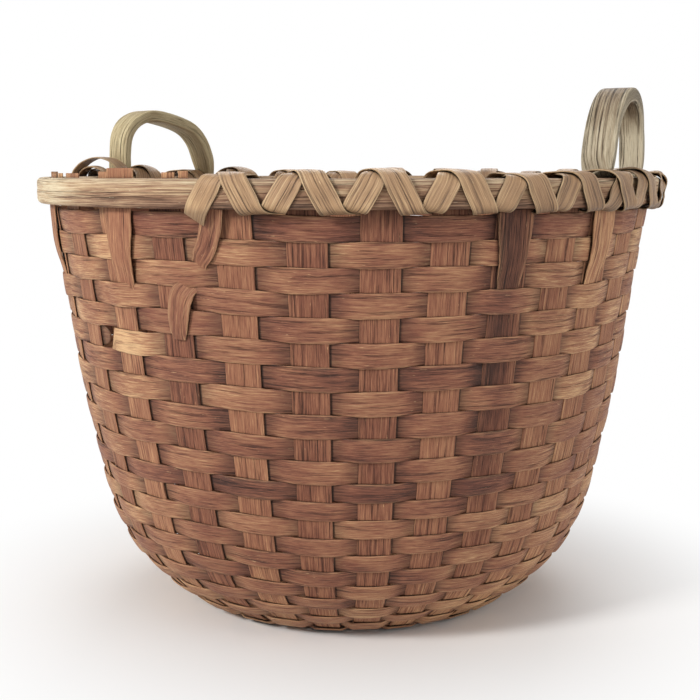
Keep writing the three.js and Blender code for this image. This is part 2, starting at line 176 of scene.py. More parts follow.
def rolled(across, out, angle):
    """A strip's two directions turned about its path: across by the cosine of the angle plus out by
    its sine, and out by the cosine less across by the sine."""
    cosine, sine = np.cos(angle)[:, None], np.sin(angle)[:, None]
    return across * cosine + out * sine, out * cosine - across * sine


def bearing_of(points):
    """Each point's bearing: the arctangent of X over minus Y."""
    return np.arctan2(points[..., 0], -points[..., 1])


def share_between(value, none_at, full_at):
    """How far a value has come from none_at to full_at, held between 0 and 1."""
    return np.clip((value - none_at) / (full_at - none_at), 0, 1)


def hump(value, middle, reach):
    """A bell: e to the power of minus the square of the distance from the middle over the reach."""
    return np.exp(-((value - middle) / reach) ** 2)


def drift(along, wave, draw):
    """A slow wander between -1 and 1: half a sine of length wave, plus smaller ones of 0.61 and 0.37
    of that length, each from a drawn start."""
    starts = draw.uniform(0, 2 * np.pi, 3)
    turns = np.asarray(along)[..., None] * 2 * np.pi / (wave * np.array([1.0, 0.61, 0.37]))
    return (np.sin(turns + starts) * np.array([0.5, 0.3, 0.2])).sum(-1)


strip_across = np.array([-1, -0.965, -0.82, -0.42, 0, 0.42, 0.82, 0.965, 1])
strip_depth = np.array([0.24, 0.44, 0.5, 0.5, 0.5, 0.5, 0.5, 0.44, 0.24])


def carry_strip(middle, across, out, half_width, thickness, cup):
    """A flat section with worn edges carried along a path. A corner is the middle, plus its share
    across times the half width, plus out times its share of the thickness less cup times the share
    across squared. Also gives each corner's grain: its distance along, its distance across and the
    side it is on."""
    share = np.concatenate([strip_across, strip_across[::-1]])
    depth = np.concatenate([strip_depth, -strip_depth[::-1]])
    count = len(middle)
    half_width = np.broadcast_to(half_width, count)[:, None]
    thickness = np.broadcast_to(thickness, count)[:, None]
    lift = depth * thickness - cup * share ** 2
    rings = (middle[:, None] + across[:, None] * (share * half_width)[..., None]
             + out[:, None] * lift[..., None])
    along = np.broadcast_to(lengths_along(middle)[:, None], rings.shape[:2])
    grain = np.stack([along, share * half_width, np.broadcast_to(np.sign(depth), rings.shape[:2])], -1)
    return rings, grain


def skin(name, rings, grain, tone, dirt_and_shade, wear, material, seed):
    """Joins a chain of rings of corners into one closed mesh, a four-sided face between each pair of
    neighbouring corners of neighbouring rings and one face over each end, turned to point outwards.
    grain keeps the distance along and across for the wood's pattern, tint its tone, its dirt and painted
    shade, and its wear."""
    count, sides = rings.shape[:2]
    corner = np.arange(count * sides).reshape(count, sides)
    here, ahead = corner[:-1], corner[1:]
    quads = np.stack([here, np.roll(here, -1, 1), np.roll(ahead, -1, 1), ahead], -1).reshape(-1, 4)
    first, second, third, fourth = (rings.reshape(-1, 3)[quads[:, place]] for place in range(4))
    volume = (np.cross(third - first, fourth - second) * (first + second + third + fourth)).sum()
    start_cap, end_cap = corner[0][::-1], corner[-1]
    if volume < 0:
        quads, start_cap, end_cap = quads[:, ::-1], start_cap[::-1], end_cap[::-1]
    mesh = bpy.data.meshes.new(name)
    mesh.vertices.add(count * sides)
    mesh.vertices.foreach_set("co", rings.astype(np.float32).ravel())
    loops = np.concatenate([quads.ravel(), start_cap, end_cap])
    mesh.loops.add(len(loops))
    mesh.loops.foreach_set("vertex_index", loops.astype(np.int32))
    starts = np.concatenate([np.arange(len(quads)) * 4, len(quads) * 4 + np.array([0, sides])])
    mesh.polygons.add(len(starts))
    mesh.polygons.foreach_set("loop_start", starts.astype(np.int32))
    smooth = np.ones(len(starts), bool)
    smooth[-2:] = False
    mesh.polygons.foreach_set("use_smooth", smooth)
    mesh.update(calc_edges=True)
    grain = grain.copy()
    grain[..., 2] = seed + 0.5 * grain[..., 2]
    tint = np.stack(np.broadcast_arrays(tone, dirt_and_shade, wear, grain[..., 0])[:3], -1)
    for label, values in (("grain", grain), ("tint", tint)):
        layer = mesh.attributes.new(label, "FLOAT_VECTOR", "POINT")
        layer.data.foreach_set("vector", values.astype(np.float32).ravel())
    mesh.materials.append(material)
    piece = bpy.data.objects.new(name, mesh)
    bpy.context.scene.collection.objects.link(piece)
    return piece


def linear(code):
    """An sRGB hex colour as the linear one that shaders mix: value over 12.92 up to 0.04045, and
    above that value plus 0.055, over 1.055, to the power of 2.4."""
    value = np.array([int(code[place:place + 2], 16) for place in (1, 3, 5)]) / 255
    return (*np.where(value <= 0.04045, value / 12.92, ((value + 0.055) / 1.055) ** 2.4), 1.0)


def add(tree, kind, inputs, output=0, **settings):
    """Adds a shader node, sets its properties, links or fills its inputs, and gives one output."""
    node = tree.nodes.new("ShaderNode" + kind)
    for key, value in settings.items():
        setattr(node, key, value)
    for key, value in inputs.items():
        if isinstance(value, bpy.types.NodeSocket):
            tree.links.new(value, node.inputs[key])
        else:
            node.inputs[key].default_value = value
    return node.outputs[output]


blotch_size, patch_size, nick_size = (0.034, 0.011), (0.11, 0.03), (0.0085, 0.0008)
# How far the ambient occlusion of the painted crevice shade reaches, and the clear shares over which that
# shade fades from full to none
crevice_shade_reach, crevice_shade_clear = 0.0030, (0.30, 0.70)
tannin_colour = "#6d3a2e"


def split_ash(name, colours, crack_colour, fibre, ring, shifts, crack_share, tannin, bump, roughness, gloss):
    """Wood split along the grain and left to weather. colours run from pale to dark along the tone.
    fibre and ring are the (length, width) of the fine fibres and of the open growth rings, in metres.
    shifts is how far fibres, rings and blotches move the tone. The rings open into cracks, crack_share
    dark and bump deep, and tannin is how much the patches have reddened. Wear bares the pale wood at the
    edges and a few nicks show it. The tint's dirt, which holds real dirt and painted shade, darkens it,
    and ambient occlusion paints shade into the crevices, where little of the way out is clear."""
    material = bpy.data.materials.new(name)
    material.use_nodes = True
    tree = material.node_tree
    tree.nodes.clear()
    grain = add(tree, "Attribute", {}, "Vector", attribute_name="grain")
    tint = add(tree, "Attribute", {}, "Vector", attribute_name="tint")
    tone, dirt_and_shade, wear = add(tree, "SeparateXYZ", {0: tint}).node.outputs

    # Noise drawn out along the grain, which keeps mostly between 0.3 and 0.7
    patterns = []
    for size, detail in ((fibre, 5.0), (ring, 4.0), (blotch_size, 3.0), (patch_size, 1.0), (nick_size, 2.0)):
        place = add(tree, "VectorMath", {0: grain, 1: (1 / size[0], 1 / size[1], 3.0)}, operation="MULTIPLY")
        noise = {"Vector": place, "Scale": 1.0, "Detail": detail, "Roughness": 0.72}
        patterns.append(add(tree, "TexNoise", noise))
    fibres, rings, blotches, patches, nicks = patterns

    shifted = tone
    for pattern, shift in ((fibres, -shifts[0]), (rings, -shifts[1]), (blotches, shifts[2])):
        moved = add(tree, "MapRange", {0: pattern, 1: 0.3, 2: 0.7, 3: -shift, 4: shift})
        shifted = add(tree, "Math", {0: shifted, 1: moved}, operation="ADD")
    colour = add(tree, "ValToRGB", {0: shifted})
    stops = colour.node.color_ramp.elements
    stops[0].color, stops[1].color = linear(colours[0]), linear(colours[-1])
    for order, between in enumerate(colours[1:-1], 1):
        stops.new(order / (len(colours) - 1)).color = linear(between)

    reddened = add(tree, "MapRange", {0: patches, 1: 0.5, 2: 0.68, 3: 0.0, 4: tannin})
    cracks = add(tree, "Math", {
        0: add(tree, "MapRange", {0: rings, 1: 0.35, 2: 0.43, 3: 1.0, 4: 0.0}),
        1: add(tree, "MapRange", {0: fibres, 1: 0.42, 2: 0.58, 3: 1.0, 4: 0.25}),
    }, operation="MULTIPLY")
    cracked = add(tree, "Math", {0: cracks, 1: crack_share}, operation="MULTIPLY")
    bared = add(tree, "Math", {
        0: wear,
        1: add(tree, "MapRange", {0: fibres, 1: 0.42, 2: 0.6, 3: 0.1, 4: 0.8}),
    }, operation="MULTIPLY")
    nicked = add(tree, "Math", {
        0: add(tree, "MapRange", {0: nicks, 1: 0.68, 2: 0.73, 3: 0.0, 4: 0.85}),
        1: add(tree, "MapRange", {0: blotches, 1: 0.5, 2: 0.56, 3: 0.0, 4: 1.0}),
    }, operation="MULTIPLY")
    worn = add(tree, "Math", {0: bared, 1: nicked}, operation="MAXIMUM")
    # Painted shade: ambient occlusion darkens the crevices, and it is laid on together with the tint's dirt
    # and painted shade
    clear = add(tree, "AmbientOcclusion", {"Distance": crevice_shade_reach}, "AO", samples=4)
    crevice_shade = add(tree, "MapRange", {0: clear, 1: crevice_shade_clear[0], 2: crevice_shade_clear[1], 3: 0.92, 4: 0.0})
    spread = add(tree, "MapRange", {0: blotches, 1: 0.3, 2: 0.7, 3: 1.0, 4: 0.8})
    spread = add(tree, "Math", {0: dirt_and_shade, 1: spread}, operation="MULTIPLY")
    grime_and_shade = add(tree, "Math", {0: spread, 1: crevice_shade}, operation="MAXIMUM")
    coats = ((reddened, tannin_colour), (cracked, crack_colour), (worn, colours[0]), (grime_and_shade, crack_colour))
    for share, over in coats:
        colour = add(tree, "Mix", {0: share, 6: colour, 7: linear(over)}, 2, data_type="RGBA")

    ridges = add(tree, "Math", {0: rings, 1: 1.2}, operation="MULTIPLY")
    ridges = add(tree, "Math", {0: ridges, 1: fibres}, operation="ADD")
    grooves = add(tree, "Math", {0: cracks, 1: 0.8}, operation="MULTIPLY")
    relief = add(tree, "Math", {0: ridges, 1: grooves}, operation="SUBTRACT")
    normal = add(tree, "Bump", {"Strength": 0.9, "Distance": bump, "Height": relief})
    matt = add(tree, "MapRange", {0: fibres, 1: 0.3, 2: 0.7, 3: roughness + 0.1, 4: roughness - 0.08})
    surface = add(tree, "BsdfPrincipled", {
        "Base Color": colour, "Roughness": matt, "Specular IOR Level": gloss, "Normal": normal,
    })
    tree.links.new(surface, tree.nodes.new("ShaderNodeOutputMaterial").inputs["Surface"])
    return material


# Split ash, weathered: the soft spring wood of each ring has worn away, which leaves open grooves
# one to two millimetres apart with paler ridges between them. Tannin has reddened it in patches.
stake_wood = split_ash(
    "split_ash_stake", ("#d6a97c", "#ab7859", "#865440", "#4a2e25"), "#1e130e",
    fibre=(0.018, 0.00055), ring=(0.055, 0.0013), shifts=(0.36, 0.16, 0.10),
    crack_share=0.7, tannin=0.24, bump=0.0006, roughness=0.66, gloss=0.26)

# How far the wood has browned, 0 pale to 1 dark, by bearing in degrees: straw at the left, red brown
# at the front and tan elsewhere. Near the foot it is paler, and cut ends above the hoops are bleached.
browning = np.array([
    (-180, 0.52), (-125, 0.48), (-80, 0.40), (-62, 0.38), (-46, 0.47), (-34, 0.54), (-14, 0.62),
    (12, 0.62), (30, 0.50), (45, 0.41), (70, 0.41), (120, 0.52), (180, 0.52),
])
foot_fading, end_fading, fading_from = 0.24, 0.10, hoop_top - 0.001
stain_bearing, stain_reach = float(stake_bearing(7)) - 0.015, 0.075


def wood_tone(points, draw):
    """The browning at each point, less the fading towards the foot, plus what each strip has of its
    own."""
    tone = np.interp(np.degrees(bearing_of(points)), *browning.T)
    return tone - foot_fading * share_between(points[..., 2], 0.07, 0.01) + draw.normal(0, 0.08)


def add_stain(tone, points, share):
    """A dark damp stain that ran down from the rim by the seventh stake: tone plus share times a bell
    across it, which fades down the wall and ends within the hoops."""
    fade = share_between(points[..., 2], 0.06, 0.18) * share_between(points[..., 2], 0.312, 0.302)
    return tone + share * hump(bearing_of(points), stain_bearing, stain_reach) * fade


def floor_dirt(points):
    """Dirt from standing on the ground: 0.15 at the floor, nothing 30 mm above it."""
    return 0.15 * share_between(points[..., 2], 0.03, 0)


def shade_under_rim(points):
    """Painted shadow under the hoops: 1 at their lower edge, nothing 9 mm below or 6 mm above it."""
    below = hoop_bottom - points[..., 2]
    return share_between(below, 0.009, 0) * (below > -0.006)


def edge_wear(grain, half, most, power=8):
    """Rubbed edges: most, times the share of the way from the middle to the edge, to a power."""
    return most * np.abs(grain[..., 1] / half[:, None]) ** power


draw = np.random.default_rng(41)
for splint in range(splint_count):
    arms = []
    for arm, turn in ((splint, 1), (splint + splint_count, -1)):
        down = np.linspace(wall_top - hoop_top - stub_heights.get(arm, usual_stub), hub_place, arm_points)
        radius = wall(down)[0]
        half = stake_width_at(arm, radius) / 2 * (1 + 0.02 * drift(down, 0.09, draw))
        cock = stake_cock * share_between(radius, foot_radius, foot_radius + cock_reach)
        middle, out = on_wall(stake_bearing(arm), down, 0)
        across, out = rolled(sideways(stake_bearing(arm)), out, cock)
        sections = (middle, across * turn, out, half, np.full(arm_points, stake_thickness))
        arms.append(tuple(values[::turn] for values in sections))
    # Under the basket the even splints lie lowest, one on another, and the odd ones on top of them
    level = splint // 2 if splint % 2 == 0 else (splint_count + splint) // 2
    height = foot_lift + hub_rise + level * (crossing_thickness + clearance)
    near, far = (plan(stake_bearing(arm), crossing_radius, height) for arm in (splint, splint + splint_count))
    knots = np.stack([arms[0][0][-1], near, far, arms[1][0][0]])
    places = lengths_along(knots)
    reach = np.linspace(0, places[-1], crossing_points + 2)[1:-1]
    knot_halves = [arms[0][3][-1], crossing_width / 2, crossing_width / 2, arms[1][3][0]]
    knot_thicknesses = [stake_thickness, crossing_thickness, crossing_thickness, stake_thickness]
    crossing = (
        np.stack([np.interp(reach, places, knots[:, axis]) for axis in range(3)], 1),
        np.tile(sideways(first_ray + splint * ray_step), (crossing_points, 1)),
        np.tile([0.0, 0.0, -1.0], (crossing_points, 1)),
        np.interp(reach, places, knot_halves),
        np.interp(reach, places, knot_thicknesses),
    )
    parts = zip(arms[0], crossing, arms[1])
    middle, across, out, half, thickness = (np.concatenate(values) for values in parts)
    rings, grain = carry_strip(middle, across, out, half, thickness, stake_cup)
    tone = add_stain(wood_tone(rings, draw) - 0.01 + 0.05 * drift(grain[..., 0], 0.12, draw), rings, 0.45)
    tone = tone - end_fading * (rings[..., 2] > fading_from)
    wear = edge_wear(grain, half, 0.15)
    # Dirt all over and near the floor, painted shade on the inner face, painted shadow under the hoops, and
    # the damp stain
    dirt_and_shade = 0.06 + floor_dirt(rings) + 0.1 * (grain[..., 2] < 0)
    dirt_and_shade = add_stain(dirt_and_shade + 0.4 * shade_under_rim(rings), rings, 0.3)
    name = f"splint_{splint + 1:02d}"
    piece = skin(name + "_ash", rings, grain, tone, dirt_and_shade, wear, stake_wood, draw.uniform(0, 90))
    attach(piece, "root")
    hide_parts(name)


# WEAVERS
# Thin ash strips, one to a row, wound over one stake and under the next while damp, so that they have
# dried in waves. The wide ones fill the upper wall, the narrow ones the bend and the base. One of the
# wide ones has snapped at the left front, and its two ends stand apart.
weaver_thickness, weaver_cup, weaver_bulge = 0.0012, 0.0003, 0.0006
weave_offset = (stake_thickness + weaver_thickness) / 2 + clearance
pressed_offset = (stake_thickness + weaver_thickness) / 2 - 0.0002
wide_rows, narrow_rows, base_rows = 11, 12, 3
narrow_share = 0.832
wide_pitch = wall_length / (wide_rows + narrow_share * narrow_rows)
narrow_pitch = narrow_share * wide_pitch
base_pitch = (hub_place - wall_length - foot_pitch) / base_rows
row_kinds = [wide_rows, narrow_rows, 1, base_rows]
row_pitches = np.repeat([wide_pitch, narrow_pitch, foot_pitch, base_pitch], row_kinds)
wide_space, narrow_space, foot_width = 0.0003, 0.0004, 0.0120
wide_row, narrow_row = wide_pitch - wide_space, narrow_pitch - narrow_space
row_widths = np.repeat([wide_row, narrow_row, foot_width, foot_width], row_kinds)
row_middles = np.cumsum(row_pitches) - row_pitches / 2
loose_rows = wide_rows + narrow_rows - 2
stake_room = 0.0004
joint_step, weaver_tilt = 7, np.radians(1.6)
# Where a weaver's sections stand, as shares of half a stake's width and of half a gap
under_shares = np.array([-0.94, -0.75, -0.4, 0, 0.4, 0.75, 0.94])
gap_shares = np.array([0.06, 0.16, 0.32, 0.58])
# The snapped weaver: where its torn end and its stump lie, as shares of the way between two stakes
broken_row, broken_drop = 6, 0.0014
torn_shares = np.array([0.57, 0.60, 0.63, 0.67])
stump_shares, stump_widths = np.array([0.15, 0.27, 0.37, 0.45, 0.50]), (1, 0.9, 0.7, 0.45, 0.1)
# The stakes whose tips are folded down over the rows, and how far they lift the row that holds them
tip_stakes, tip_row, tip_lift = (1, 7, 9, 13, 17, 23, 29), 4, 0.0014

# Thin split ash, smoother than the stakes, with fine fibres and a few open pores
weaver_wood = split_ash(
    "split_ash_weaver", ("#dab284", "#aa7a59", "#85523e", "#462b23"), "#1e130e",
    fibre=(0.014, 0.00050), ring=(0.060, 0.0022), shifts=(0.36, 0.10, 0.12),
    crack_share=0.45, tannin=0.30, bump=0.0006, roughness=0.60, gloss=0.32)

draw = np.random.default_rng(17)
for number in range(1, len(row_pitches) + 1):
    row_width, row_middle = row_widths[number - 1], row_middles[number - 1]
    row_radius = float(wall(row_middle)[0])
    broken, loose = number == broken_row, number <= loose_rows
    # The two ends of a row meet behind a stake, seven stakes on from those of the row above. Seven is
    # odd, so where one row goes over a stake the next goes under it.
    start = 0 if broken else number * joint_step
    steps = np.arange(stake_count + 1)
    stakes = stake_bearing(start + steps)
    halves = np.arctan((stake_width_at(start + steps, row_radius) / 2 + stake_room) / row_radius)
    sides = np.where(steps % 2 == 0, -1.0, 1.0)
    spare = np.diff(stakes, prepend=stakes[0] - ray_step, append=stakes[-1] + ray_step)
    before = (spare[:-1] / 2 - halves)[:, None]
    after = (spare[1:] / 2 - halves)[:, None]
    bearing = np.sort(np.concatenate([
        (stakes[:, None] + halves[:, None] * under_shares).ravel(),
        (stakes[:, None] + halves[:, None] + after * gap_shares).ravel(),
        (stakes[:, None] - halves[:, None] - before * gap_shares).ravel(),
        stakes[:-1] + spare[1:-1] / 2,
    ]))
    bearing = bearing[(bearing > stakes[0] - 1e-6) & (bearing < stakes[-1] + 1e-6)]
    bearing[0] += clearance / row_radius
    bearing[-1] -= clearance / row_radius
    if broken:
        torn = stakes[0] + (stakes[1] - stakes[0]) * torn_shares
        stump = stakes[-1] + (stakes[1] - stakes[0]) * stump_shares
        bearing = np.concatenate([torn, bearing[bearing > torn[-1] + 0.004], stump])
    # From -1 behind a stake to 1 over one: straight from edge to edge, rounded by its own square
    edges = np.stack([stakes - halves, stakes + halves], 1).ravel()
    wave = np.interp(bearing, edges, np.repeat(sides, 2))
    wave = wave * (1.2 - 0.2 * wave ** 2)
    nearest = np.abs(bearing[:, None] - stakes).argmin(1)
    from_stake = np.minimum(np.abs(bearing - stakes[nearest]), halves[nearest])
    crown = 1 - (from_stake / halves[nearest]) ** 2
    lifted = np.isin((start + nearest) % stake_count, tip_stakes) & (number == tip_row)
    offset = (pressed_offset if loose else weave_offset) * wave
    offset = offset + crown * (loose * weaver_bulge * np.clip(wave, -0.4, 1) + tip_lift * lifted)
    # Each row dips and rises by a millimetre or so on its way round, and its strip tilts a little
    sag = 0.0009 * np.sin(3 * bearing + 0.5) + 0.0006 * np.sin(7 * bearing + 2)
    down = row_middle + loose * (sag + 0.0004 * drift(bearing * row_radius, 0.17, draw))
    tilt = weaver_tilt * drift(bearing * row_radius, 0.11, draw) * loose
    # Across a stake a strip runs straight: the radius over the cosine of the angle from the stake
    radius, height, slope_out, slope_up = wall(down)
    middle = plan(bearing, radius / np.cos(from_stake) - slope_up * offset, height + slope_out * offset)
    down_wall = outward(bearing, slope_out, slope_up)
    across, out = rolled(down_wall, outward(bearing, -slope_up, slope_out), tilt)
    ragged = 0.02 * drift(bearing * row_radius, 0.06, draw) + 0.018 * drift(bearing * row_radius, 0.014, draw)
    half = row_width / 2 * (1 + 0.06 * wave ** 2 + ragged)
    if broken:
        # The torn end tapers to its lower edge over 7 mm and has sunk, and the stump has a ragged tip
        torn_end = np.clip((bearing - torn[0]) * row_radius / 0.007, 0.08, 1)
        half = half * torn_end * np.interp(bearing, stump, stump_widths)
        middle += down_wall * (row_width / 2 * (1 - torn_end))[:, None]
        middle += down_wall * (broken_drop * hump(bearing, stakes[1] + 0.08, 0.12))[:, None]
    rings, grain = carry_strip(middle, across, out, half, weaver_thickness, weaver_cup)
    tone = wood_tone(rings, draw) + 0.03 + 0.11 * drift(grain[..., 0], 0.085, draw)
    tone = add_stain(tone, rings, 0.28)
    if broken:
        tone = tone - 0.35 * hump(bearing, stakes[1], 0.14)[:, None]
    # Painted shadow in a line where the strip goes in behind a stake, and painted shade on the face that the
    # stake covers
    passed = (bearing - stakes[nearest]) / halves[nearest]
    shadow_beside = np.where(passed > 0, 1.13 - passed, (passed + 1.05) * 0.6) / 0.08 * (wave < 0)
    shadow_beside = np.clip(shadow_beside, 0, 1) * (np.abs(passed) > 0.9)
    shadow_beside = 0.95 * shadow_beside[:, None] * (grain[..., 2] > 0)
    showing = wave[:, None] * grain[..., 2]
    dirt_and_shade = np.maximum(0.5 * share_between(showing, 0.35, -1.0), shadow_beside)
    # Dirt near the floor, and painted shadow under the hoops
    dirt_and_shade = dirt_and_shade + floor_dirt(rings) + 0.4 * shade_under_rim(rings)
    wear = edge_wear(grain, half, 0.5, 10) * np.clip(showing, 0, 1)
    name = f"weaver_{number:02d}"
    piece = skin(name + "_ash", rings, grain, tone, dirt_and_shade, wear, weaver_wood, draw.uniform(0, 90))
    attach(piece, "root")
    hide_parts(name)


# FOLDED STAKE TIPS
# Every few stakes were left long, cut to a taper, folded over the top row and pushed down behind the
# fourth row of weaving, which locks the wall before the hoops go on.
tip_start, tip_length, tip_thickness, tip_cup, tip_points = -0.003, 0.056, 0.0011, 0.0004, 90
# Width, and how far out from the middle of the wall it lies, by the distance down the wall
tip_widths = np.array([(-0.003, 0.0255), (0.010, 0.0245), (0.036, 0.0180), (0.056, 0.0130)])
tip_offsets = np.array([
    (-0.020, 0.0013), (-0.009, 0.0014), (-0.003, 0.0021), (0.004, 0.0025), (0.016, 0.0036),
    (0.023, 0.0040), (0.031, 0.0036), (0.040, 0.0022), (0.048, 0.0015), (0.056, 0.0014),
])
# Two that differ: a top that shows above the hoops, a bearing off the stake's own and a lean, a tone
tip_starts = {1: wall_top - hoop_top - 0.0062}
tip_places = {1: (0.047, -0.016), 9: (0.0, -0.02)}
tip_tones, usual_tip_tone = {9: -0.16}, -0.1

draw = np.random.default_rng(5)
for stake in tip_stakes:
    down = np.linspace(tip_starts.get(stake, tip_start), tip_length, tip_points)
    usual_place = (0.0, draw.uniform(-0.012, 0.012))
    aside, lean = tip_places.get(stake, usual_place)
    bearing = stake_bearing(stake) + aside + lean * down / tip_length
    middle, out = on_wall(bearing, down, soften(np.interp(down, *tip_offsets.T), 4))
    half = np.interp(down, *tip_widths.T) / 2 * (1 + 0.03 * drift(down, 0.03, draw))
    rings, grain = carry_strip(middle, sideways(bearing), out, half, tip_thickness, tip_cup)
    tone = add_stain(wood_tone(rings, draw) + tip_tones.get(stake, usual_tip_tone), rings, 0.42)
    tone = tone - end_fading * (rings[..., 2] > fading_from)
    dirt_and_shade, wear = add_stain(0.03, rings, 0.4), edge_wear(grain, half, 0.8)
    piece = skin(f"folded_tip_{stake:02d}", rings, grain, tone, dirt_and_shade, wear, stake_wood, draw.uniform(0, 90))
    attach(piece, "root")


# SLIVERS
# Thin pale strips that have split off stakes at the left front. They stand between the wall and the
# outer hoop, and their ends stick out over its top.
sliver_points, sliver_offset, sliver_cup, sliver_end = 20, 0.0013, 0.0002, -0.004
# The bearing in degrees, the width, and how far each stands above the hoops
slivers = {
    "sliver_1": (-29.6, 0.0098, 0.0036),
    "sliver_2": (-26.7, 0.0068, 0.0044),
    "sliver_3": (-62.0, 0.0090, 0.0030),
}
for name, (degrees, width, rise) in slivers.items():
    bearing = np.radians(degrees)
    down = np.linspace(wall_top - hoop_top - rise, sliver_end, sliver_points)
    radius, height, slope_out, slope_up = wall(down)
    middle = plan(bearing, radius + sliver_offset, height)
    across, out = (np.tile(way(bearing), (sliver_points, 1)) for way in (sideways, outward))
    half = width / 2 * (1 + 0.04 * drift(down, 0.01, draw))
    rings, grain = carry_strip(middle, across, out, half, tip_thickness, sliver_cup)
    piece = skin(name, rings, grain, wood_tone(rings, draw) - 0.3, 0.03, 0.2, stake_wood, draw.uniform(0, 90))
    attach(piece, "root")


# RIM HOOPS
# Two thick ash bands, shaved round on the face, steamed and bent, that clamp the tops of the stakes
# between them. The ends of each are cut down to half and lapped over each other.
outer_thickness, inner_thickness = 0.0088, 0.009
outer_seat, outer_face = rim_radius - outer_thickness, rim_radius
inner_face = wall_radius - stake_thickness / 2 - clearance
inner_back = inner_face - inner_thickness
hoop_round, hoop_lap = 0.0034, np.radians(20)
hoop_crown, hoop_hollow, hoop_wander = 0.0005, 0.0003, 0.0003
lap_points, round_points = 26, 420
outer_lap_end, inner_lap_end = np.radians(52), np.radians(170)
lap_start_share, lap_end_share = 0.25, 0.6
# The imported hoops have 40 flats, 3 of them in the lap, and the lap runs in over one flat
hoop_flats, lap_flats = 40, 3
run_in = (2 * np.pi - hoop_lap) / (hoop_flats - lap_flats)
# Browning by bearing in degrees, and how much of the lower half's own shows there
hoop_browning = np.array([
    (-180, 0.5), (-120, 0.42), (-80, 0.20), (-55, 0.26), (-38, 0.52), (-20, 0.58), (0, 0.62),
    (30, 0.58), (60, 0.45), (120, 0.46), (180, 0.5),
])
lower_browning = np.array([(-180, 0.5), (-75, 0.1), (-30, 1), (120, 1), (180, 0.5)])

# Shaved and bent ash: long coarse fibres torn up by the drawknife, silvered and rubbed pale on the
# outside by handling
hoop_wood = split_ash(
    "shaved_ash_hoop", ("#eadbb9", "#c9a984", "#9a745a", "#583e31"), "#2b1d16",
    fibre=(0.028, 0.0005), ring=(0.09, 0.0013), shifts=(0.40, 0.20, 0.10),
    crack_share=0.55, tannin=0.15, bump=0.0008, roughness=0.60, gloss=0.26)


def girth(across, up):
    """Distance round each section from its first corner, summed over the steps between corners."""
    steps = np.hypot(np.diff(across, axis=1), np.diff(up, axis=1))
    return np.concatenate([np.zeros((len(across), 1)), np.cumsum(steps, axis=1)], 1)


def hoop_rings(seat, face, lap_end, draw):
    """A bent band flat on its seat and rounded on its face. Its section is carried once round plus the
    lap. In the lap the seat side runs out to lap_start_share of the thickness, the face side likewise.
    The face has long shallow hollows that wander, deepest where the wood was shaved most."""
    start = lap_end - hoop_lap
    bearing = np.concatenate([
        np.linspace(start, lap_end, lap_points),
        np.linspace(lap_end + 1e-5, start + 2 * np.pi, round_points)[1:],
        np.linspace(start + 2 * np.pi, lap_end + 2 * np.pi, lap_points)[1:],
    ])
    outside = np.sign(face - seat)
    thin, thick = (seat + (face - seat) * share for share in (lap_start_share, lap_end_share))
    gap = outside * clearance / 2
    near = np.interp(bearing, [lap_end, start + 2 * np.pi - run_in, start + 2 * np.pi, lap_end + 2 * np.pi],
                     [seat, seat, thin + gap, thick + gap])
    far = np.interp(bearing, [start, lap_end, lap_end + run_in, lap_end + 2 * np.pi],
                    [thin - gap, thick - gap, face, face])
    turn = np.linspace(0, np.pi / 2, 5)
    cut = np.minimum(hoop_round, np.abs(far - near)[:, None] * 0.6)
    corner_in = far[:, None] - outside * cut * (1 - np.sin(turn))
    corner_low = hoop_bottom + cut * (1 - np.cos(turn))
    face_rows = np.linspace(0, 1, 9)[1:-1]
    face_low, face_high = hoop_bottom + cut, hoop_top - cut
    along = (bearing - start) * abs(face)
    hollows = np.stack([drift(along, 0.35, draw) + 0.6 * drift(along, 0.11, draw) for row in face_rows], 1)
    crown = hoop_crown * (1 - (2 * face_rows - 1) ** 2)
    swell = crown + hoop_hollow * (hollows - 1)
    face_radius = far[:, None] + outside * swell * np.sin(np.pi * face_rows) ** 0.5
    flat_radius = np.stack([near, near + (far - near) * 0.4], 1)
    radius = np.concatenate([
        flat_radius, corner_in, face_radius, corner_in[:, ::-1], flat_radius[:, ::-1],
    ], 1)
    height = np.concatenate([
        np.full((len(bearing), 2), hoop_bottom), corner_low, face_low + (face_high - face_low) * face_rows,
        hoop_top + hoop_bottom - corner_low[:, ::-1], np.full((len(bearing), 2), hoop_top),
    ], 1)
    wander = hoop_wander * drift(along, 0.4, draw)[:, None]
    rings = outward(bearing[:, None], radius, height + wander)
    around = girth(radius, height)
    grain = np.stack([np.broadcast_to(along[:, None], around.shape), around, np.ones_like(around)], -1)
    return rings, grain, bearing


draw = np.random.default_rng(23)
for name, seat, face, lap_end in (("outer_rim_hoop", outer_seat, outer_face, outer_lap_end),
                                  ("inner_rim_hoop", inner_face, inner_back, inner_lap_end)):
    rings, grain, bearing = hoop_rings(seat, face, lap_end, draw)
    degrees = (np.degrees(bearing)[:, None] + 180) % 360 - 180
    tone = np.interp(degrees, *hoop_browning.T) + 0.09 * drift(grain[..., 0], 0.12, draw)
    lower_half = share_between(rings[..., 2], rim_height, rim_height - 0.005)
    tone = tone + 0.26 * lower_half * np.interp(degrees, *lower_browning.T)
    # Rubbed pale along the upper edge, a little along the lower one, and most at the left
    wear = 0.6 * hump(rings[..., 2], hoop_top - 0.002, 0.002)
    wear = wear + 0.1 * hump(rings[..., 2], hoop_bottom + 0.003, 0.002) + 0.4 * hump(degrees, -68, 20)
    piece = skin(name + "_ash", rings, grain, tone, 0.04, wear, hoop_wood, draw.uniform(0, 90))
    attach(piece, "root")
    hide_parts(name)


# EAR HANDLES
# Each is one thick split of ash, steamed and bent into a flat bow, with shoulders that sit on the
# hoops and a thin tongue on each leg that is driven down inside the wall.
handle_width, handle_top_thickness, handle_leg_thickness = 0.022, 0.0095, 0.006
handle_radius = rim_radius - 0.019
handle_corner_share, handle_hollow = 0.2, 0.00018
corner_points, face_points = 4, 7
tongue_thickness, tongue_width, tongue_length = 0.0036, 0.005, 0.052
tongue_offset = weave_offset + weaver_thickness / 2 + clearance + tongue_thickness / 2
